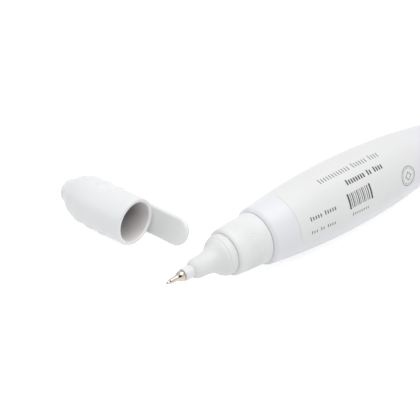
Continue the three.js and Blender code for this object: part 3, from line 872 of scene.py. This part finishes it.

# %% [markdown]
# ## Cap
# The cap is a thin moulded cup with three raised bars on each side to grip it by.
# Its outside is straight for half its length and then rounds over to a small boss.
# Its inside has a finish of its own with painted shade: paler at the mouth and darker deeper in
# the cup, where less light gets in.
# Noise can't know where the mouth is, so an attribute holds how deep each point lies in the cap,
# and the painted shade reads it.

# %% Cap shell
CUP_END, CUP_HOLE_R, CUP_FLOOR = 26.3, 2.9, 24.8
outer = [
    (0, 7.3),
    (0.12, 7.5),
    (0.4, CAP_R),
    (8, CAP_R),
    (16, CAP_R),
    (18, 7.5),
    (20, 7.3),
    (21, 7.13),
    (22, 6.92),
    (23, 6.6),
    (23.8, 6.22),
    (24.6, 5.72),
    (25.3, 5.2),
    (26.0, 4.7),
    (CUP_END, 4.3),
    (CUP_END, CUP_HOLE_R),
    (CUP_FLOOR, CUP_HOLE_R),
]
inner = [
    (0, 6.5),
    (0.35, 6.25),
    (8, 6.17),
    (18, 6.05),
    (22, 5.45),
    (CUP_FLOOR, 4.3),
]
cup = shell("cap_cup", outer, inner, CAP, sides=SIDES, radius=0.5)
dressed(cup, "cap", "cap_shell", cap_white)


def between_walls(u):
    """A radius inside the cup's wall, to tell its inner faces from its outer ones."""
    return 6.4 if u < 20 else 6.4 - (u - 20) * 0.4


cup.data.materials.append(cap_inside)
to_local = (Matrix.Scale(MM, 4) @ CAP).inverted()
# This depth attribute drives the painted shade inside the cup.
depth = cup.data.attributes.new("depth", "FLOAT", "POINT")
for vertex in cup.data.vertices:
    depth.data[vertex.index].value = (to_local @ vertex.co).x
for face in cup.data.polygons:
    c = to_local @ face.center
    if 0.5 < c.x < CUP_FLOOR - 0.1 and math.hypot(c.y, c.z) < between_walls(c.x):
        face.material_index = 1

# %% [markdown]
# ### Grip bars
# Three low bars on each side stop the cap from turning in the fingers.
# Each bar is a pillow that bends round the cap. It is drawn from stations along the cap and
# angles round it, and its edges fade into the cup, as the edges of a moulded rib do.

# %% Cap grip bars
BAR_HEIGHT, BAR_SINK, BAR_WIDTH = 0.24, 0.12, 2.4
BAR_CENTRES = (9.6, 14.8, 20.0)
BAR_NEAR, BAR_FAR = math.radians(62), math.radians(121)


def cap_outside(u):
    """Outer radius of the cup."""
    return CAP_R if u < 16 else CAP_R - 0.3 * ((u - 16) / 4) ** 1.7


def grip_bar(bm, centre, start, end):
    """One pillow round the station centre, from angle start to angle end."""
    rows = []
    steps_along, steps_round = 13, 33
    for i in range(steps_along):
        x = 2 * i / (steps_along - 1) - 1
        row = []
        for k in range(steps_round):
            y = 2 * k / (steps_round - 1) - 1
            rise = (1 - abs(x) ** 4) * (1 - abs(y) ** 12)
            u = centre + x * BAR_WIDTH / 2
            a = (start + end) / 2 + y * (end - start) / 2
            r = cap_outside(u) - BAR_SINK + (BAR_HEIGHT + BAR_SINK) * rise
            row.append(bm.verts.new((u, r * math.cos(a), r * math.sin(a))))
        rows.append(row)
    for one, two in zip(rows, rows[1:]):
        for k in range(steps_round - 1):
            bm.faces.new((one[k], one[k + 1], two[k + 1], two[k]))
    back = []
    for row in (rows[0], rows[-1]):
        back.append([bm.verts.new((v.co.x, v.co.y * 0.93, v.co.z * 0.93)) for v in row])
    for row, under in zip((rows[0], rows[-1]), back):
        for k in range(steps_round - 1):
            bm.faces.new((row[k], under[k], under[k + 1], row[k + 1]))
    for k in range(steps_round - 1):
        bm.faces.new((back[0][k], back[1][k], back[1][k + 1], back[0][k + 1]))
    for end_k in (0, steps_round - 1):
        bm.faces.new([row[end_k] for row in rows] + [back[1][end_k], back[0][end_k]])


bm = bmesh.new()
clip_at = math.pi + CLIP_ROLL
for centre in BAR_CENTRES:
    for sign in (-1, 1):
        grip_bar(bm, centre, *sorted((clip_at + sign * BAR_NEAR, clip_at + sign * BAR_FAR)))
bars = finish_mesh("cap_grip_bars", bm, CAP, 50)
bars.data.materials.append(cap_white)
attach(bars, "cap")
print("made", bars.name, len(bars.data.polygons), "faces")

# %% [markdown]
# ### End boss and inner seal
# A small plug closes the hole that the mould core leaves, and shows as a boss with a flat end.
# Deep inside, a soft plug meets the metal tube and keeps the paint in it from drying.
# Both are round, so the lathe makes them too, and only their lines differ.

# %% End boss and seal
BOSS_STEM_R, BOSS_FOOT, BOSS_END = 2.6, 26.42, 28.9
boss_line = [
    (CUP_FLOOR, 0),
    (CUP_FLOOR, BOSS_STEM_R),
    (BOSS_FOOT, BOSS_STEM_R),
    (BOSS_FOOT, 4.12),
    (27.4, 4.08),
    (28.1, 3.78),
    (28.6, 3.3),
    (BOSS_END, 2.8),
    (BOSS_END, 0),
]
boss = lathe("cap_boss", boss_line, CAP, 96, 0.25)
dressed(boss, "cap", "cap_end_plug", cap_white)
SEAL_FRONT, SEAL_REAR, SEAL_R, SEAL_HOLE_R = 18.2, 24.5, 4.0, 0.8
seal_line = [
    (22.9, 0),
    (22.9, SEAL_HOLE_R),
    (19.2, SEAL_HOLE_R),
    (SEAL_FRONT, 1.7),
    (SEAL_FRONT, 3.7),
    (18.5, SEAL_R),
    (SEAL_REAR, SEAL_R),
    (SEAL_REAR, 0),
]
seal = lathe("seal_plug", seal_line, CAP, 72, 0.2)
dressed(seal, "cap", "cap_seal", seal_soft)

# %% [markdown]
# ### Clip
# The clip is a flat strip with rounded edges. Its free end is a half round beyond the cap's mouth,
# and its foot stands on the cup. A box with a Bevel modifier would round its edges, but not its
# end, so a rounded section is swept along it, and narrows to a half circle at the end.

# %% Clip section
CLIP_FACE, CLIP_THICK, CLIP_HALF = 8.65, 1.8, 4.4
CLIP_TIP, CLIP_REAR = -13.3, 19.6
CLIP_EDGE, REAR_EDGE = 0.85, 0.6


def clip_ring(u, half, thick, face):
    """A rounded rectangle across the strip: Z is its width, -Y points away from the cap."""
    edge = min(CLIP_EDGE, half * 0.9, thick / 2 * 0.98)
    points = []
    for cz, cy, first in ((1, 1, 0), (-1, 1, 90), (-1, -1, 180), (1, -1, 270)):
        for i in range(7):
            a = math.radians(first + 15 * i)
            z = cz * (half - edge) + edge * math.cos(a)
            y = cy * (thick / 2 - edge) + edge * math.sin(a)
            points.append((u, -(face + thick / 2) - y, z))
    return points


# %% Clip strip
bm = bmesh.new()
rows = []
stations = [CLIP_TIP + CLIP_HALF * (1 - math.cos(math.pi / 2 * i / 16)) for i in range(17)]
stations += run(CLIP_TIP + CLIP_HALF, CLIP_REAR - 0.8, 20)[1:]
stations += [CLIP_REAR - 0.5, CLIP_REAR - 0.2, CLIP_REAR]
for u in stations:
    from_tip = u - CLIP_TIP
    half, thick = CLIP_HALF, CLIP_THICK
    if from_tip < CLIP_HALF:
        half = math.sqrt(max(0.02, CLIP_HALF**2 - (CLIP_HALF - from_tip) ** 2))
    if from_tip < CLIP_EDGE:
        thick = 2 * math.sqrt(max(0.01, CLIP_EDGE**2 - (CLIP_EDGE - from_tip) ** 2)) + 0.1
    from_rear = CLIP_REAR - u
    if from_rear < REAR_EDGE:
        thick = CLIP_THICK - (1 - from_rear / REAR_EDGE) ** 2
        half = CLIP_HALF - 0.5 * (1 - from_rear / REAR_EDGE) ** 2
    face = CLIP_FACE + (CLIP_THICK - thick) / 2
    rows.append([bm.verts.new(p) for p in clip_ring(u, half, thick, face)])
joined(bm, rows)
closed_ends(bm, rows)
print("clip strip:", len(bm.faces), "faces")

# %% [markdown]
# ### Clip foot
# The foot joins the strip to the cup near its closed end, like the root of a moulded clip.
# Its underside follows the round of the cup, and it stands just clear of it, so the clip can bend.

# %% Clip foot
FOOT_REAR, FOOT_FRONT, FOOT_HALF, FOOT_STEPS = 19.0, 12.0, 2.7, 12
foot = []
for u, grow in ((FOOT_FRONT - 0.4, 0.4), (FOOT_FRONT, 0), (FOOT_REAR, 0), (FOOT_REAR + 0.1, 0.1)):
    row = []
    for k in range(FOOT_STEPS + 1):
        z = FOOT_HALF * (2 * k / FOOT_STEPS - 1)
        top = bm.verts.new((u, -(CLIP_FACE + 0.5), z))
        row.append((top, bm.verts.new((u, -math.sqrt((CAP_R + 0.2 + grow) ** 2 - z * z), z))))
    foot.append(row)
for one, two in zip(foot, foot[1:]):
    for k in range(FOOT_STEPS):
        bm.faces.new((one[k][0], one[k + 1][0], two[k + 1][0], two[k][0]))
        bm.faces.new((one[k][1], two[k][1], two[k + 1][1], one[k + 1][1]))
    for k in (0, FOOT_STEPS):
        bm.faces.new((one[k][0], two[k][0], two[k][1], one[k][1]))
for row in (foot[0], foot[-1]):
    for k in range(FOOT_STEPS):
        bm.faces.new((row[k][0], row[k][1], row[k + 1][1], row[k + 1][0]))
clip = finish_mesh("clip_strip", bm, CAP @ Matrix.Rotation(CLIP_ROLL, 4, "X"), 50)
dressed(clip, "clip", "cap_clip", clip_white)

# %% [markdown]
# ## Floor
# The pen lies on a white floor in white surroundings, as in a plain catalogue picture.
# A stronger lamp would make the floor white too, but would burn out the white pen on it.
# So a Light Path switch shows the camera and the mirrors a white floor with a little glow of its
# own, while the light that it throws back on the pen is that of plain white card.

# %% Helpers for the set


def seen_or_lit(tree, lit_shader, seen_shader):
    """One shader for what the camera and mirrors see, another for the light it gives."""
    path = tree.nodes.new("ShaderNodeLightPath")
    mirrored = tree.nodes.new("ShaderNodeMath")
    mirrored.operation = "MAXIMUM"
    seen = tree.nodes.new("ShaderNodeMath")
    seen.operation = "MAXIMUM"
    mix = tree.nodes.new("ShaderNodeMixShader")
    tree.links.new(path.outputs["Is Glossy Ray"], mirrored.inputs[0])
    tree.links.new(path.outputs["Is Transmission Ray"], mirrored.inputs[1])
    tree.links.new(path.outputs["Is Camera Ray"], seen.inputs[0])
    tree.links.new(mirrored.outputs["Value"], seen.inputs[1])
    tree.links.new(seen.outputs["Value"], mix.inputs["Fac"])
    tree.links.new(lit_shader, mix.inputs[1])
    tree.links.new(seen_shader, mix.inputs[2])
    return mix.outputs["Shader"]


def stage_sheet(name, bm):
    """An object from a flat mesh drawn in metres."""
    mesh = bpy.data.meshes.new(name)
    bm.to_mesh(mesh)
    bm.free()
    sheet = bpy.data.objects.new(name, mesh)
    bpy.context.scene.collection.objects.link(sheet)
    return sheet


# %% Floor
FLOOR_HALF = 3
FLOOR_SEEN, FLOOR_GLOW, FLOOR_LIT = 0.62, 0.72, 0.95
bm = bmesh.new()
bmesh.ops.create_grid(bm, x_segments=8, y_segments=8, size=FLOOR_HALF)
floor = stage_sheet("floor", bm)
floor_white, tree, seen_floor = nodes_of("floor_white")
seen_floor.inputs["Base Color"].default_value = (FLOOR_SEEN, FLOOR_SEEN, FLOOR_SEEN, 1)
seen_floor.inputs["Roughness"].default_value = 0.9
seen_floor.inputs["Specular IOR Level"].default_value = 0.1
seen_floor.inputs["Emission Color"].default_value = (1, 1, 1, 1)
seen_floor.inputs["Emission Strength"].default_value = FLOOR_GLOW
lit_floor = tree.nodes.new("ShaderNodeBsdfDiffuse")
lit_floor.inputs["Color"].default_value = (FLOOR_LIT, FLOOR_LIT, FLOOR_LIT, 1)
surface = seen_or_lit(tree, lit_floor.outputs["BSDF"], seen_floor.outputs["BSDF"])
tree.links.new(surface, tree.nodes["Material Output"].inputs["Surface"])
floor.data.materials.append(floor_white)
print("floor is", 2 * FLOOR_HALF, "m wide")

# %% [markdown]
# ## Light
# White things show their form only by soft shade. A broad box above gives the main light,
# a small one at the left opens the shade there, and the world fills the rest at a plain level.
# The same switch as for the floor keeps what the camera sees behind the pen white.

# %% Surroundings
WORLD_LIT, WORLD_SEEN = 0.6, 1.0
world = bpy.data.worlds.new("studio")
bpy.context.scene.world = world
world.use_nodes = True
tree = world.node_tree
tree.nodes.clear()
output = tree.nodes.new("ShaderNodeOutputWorld")
lit = tree.nodes.new("ShaderNodeBackground")
lit.inputs["Color"].default_value = (0.98, 0.99, 1.0, 1)
lit.inputs["Strength"].default_value = WORLD_LIT
seen = tree.nodes.new("ShaderNodeBackground")
seen.inputs["Color"].default_value = (1, 1, 1, 1)
seen.inputs["Strength"].default_value = WORLD_SEEN
surroundings = seen_or_lit(tree, lit.outputs["Background"], seen.outputs["Background"])
tree.links.new(surroundings, output.inputs["Surface"])

# %% Soft boxes


def aimed(obj, at, direction):
    """Puts a lamp, card or camera at its place and points it along the direction."""
    obj.location = at
    obj.rotation_euler = direction.to_track_quat("-Z", "Y").to_euler()


def softbox(name, at, size, power):
    """A rectangular lamp that is aimed at the middle of the object."""
    light = bpy.data.lights.new(name, "AREA")
    light.shape = "RECTANGLE"
    light.size, light.size_y = size
    light.energy = power
    obj = bpy.data.objects.new(name, light)
    aimed(obj, at, -Vector(at))
    bpy.context.scene.collection.objects.link(obj)
    print(name, power, "W")


softbox("top_box", (0.1, -0.12, 0.78), (0.8, 0.6), 3.35)
softbox("left_box", (-0.6, 0.45, 0.45), (0.4, 0.4), 0.64)

# %% [markdown]
# ### A beam for the cap's mouth
# The big boxes leave the inside of the cap dark. A narrow soft beam reaches into its mouth,
# like the snoot on a studio lamp, and touches nothing else.

# %% Snoot
CAP_MOUTH = Vector((-0.041, 0.016, 0.008))
snoot = bpy.data.lights.new("snoot", "SPOT")
snoot.energy = 1.9
snoot.spot_size = math.radians(9)
snoot.spot_blend = 1.0
snoot.shadow_soft_size = 0.03
snoot_at = bpy.data.objects.new("snoot", snoot)
snoot_place = Vector((-0.05, -0.21, 0.28))
aimed(snoot_at, snoot_place, CAP_MOUTH - snoot_place)
bpy.context.scene.collection.objects.link(snoot_at)
print("snoot", snoot.energy, "W")

# %% [markdown]
# ### A card for the metal
# Polished metal looks like metal by what it mirrors, and here all around it is white.
# A round dark card behind the camera gives the ferrule its small dark dots.
# Only mirrored rays can see the card, so it shades nothing.

# %% Dark card
CARD_R = 0.23
bm = bmesh.new()
bmesh.ops.create_circle(bm, segments=32, radius=CARD_R, cap_ends=True)
card = stage_sheet("dark_card", bm)
aimed(card, (-0.36, -0.37, 0.36), Vector((0.57, 0.6, -0.56)))
card_black, tree, shader = nodes_of("card_black")
shader.inputs["Base Color"].default_value = (0.01, 0.01, 0.01, 1)
shader.inputs["Roughness"].default_value = 1.0
card.data.materials.append(card_black)
for ray in ("camera", "diffuse", "shadow", "transmission", "volume_scatter"):
    setattr(card, "visible_" + ray, False)
print("card is", 2 * CARD_R, "m wide")

# %% [markdown]
# ## Camera
# The camera looks down on the tip from in front, with a long lens, so the pen runs out of the
# picture at the right. Its place was fitted to the outlines, and is given from the pen's own zero.
# The lens is stated in pixels, as such a fit gives it, and a shift of a pixel lines it up.

# %% Camera
PICTURE_PIXELS, SENSOR_WIDTH = 420, 36
CAMERA_AT = PEN @ Vector((-277.13, -285.84, 268.62)) * MM
FORWARD = Vector((0.5636, 0.62083, -0.54491))
FOCAL_PIXELS = 1638.2
camera = bpy.data.objects.new("camera", bpy.data.cameras.new("camera"))
aimed(camera, CAMERA_AT, FORWARD)
camera.data.sensor_width = SENSOR_WIDTH
camera.data.lens = FOCAL_PIXELS * SENSOR_WIDTH / PICTURE_PIXELS
camera.data.shift_x = -0.25 / PICTURE_PIXELS
camera.data.shift_y = -1.0 / PICTURE_PIXELS
camera.data.clip_start = 0.01
bpy.context.scene.collection.objects.link(camera)
bpy.context.scene.camera = camera
bpy.context.scene.view_settings.view_transform = "Standard"
print("lens", round(camera.data.lens, 1), "mm")
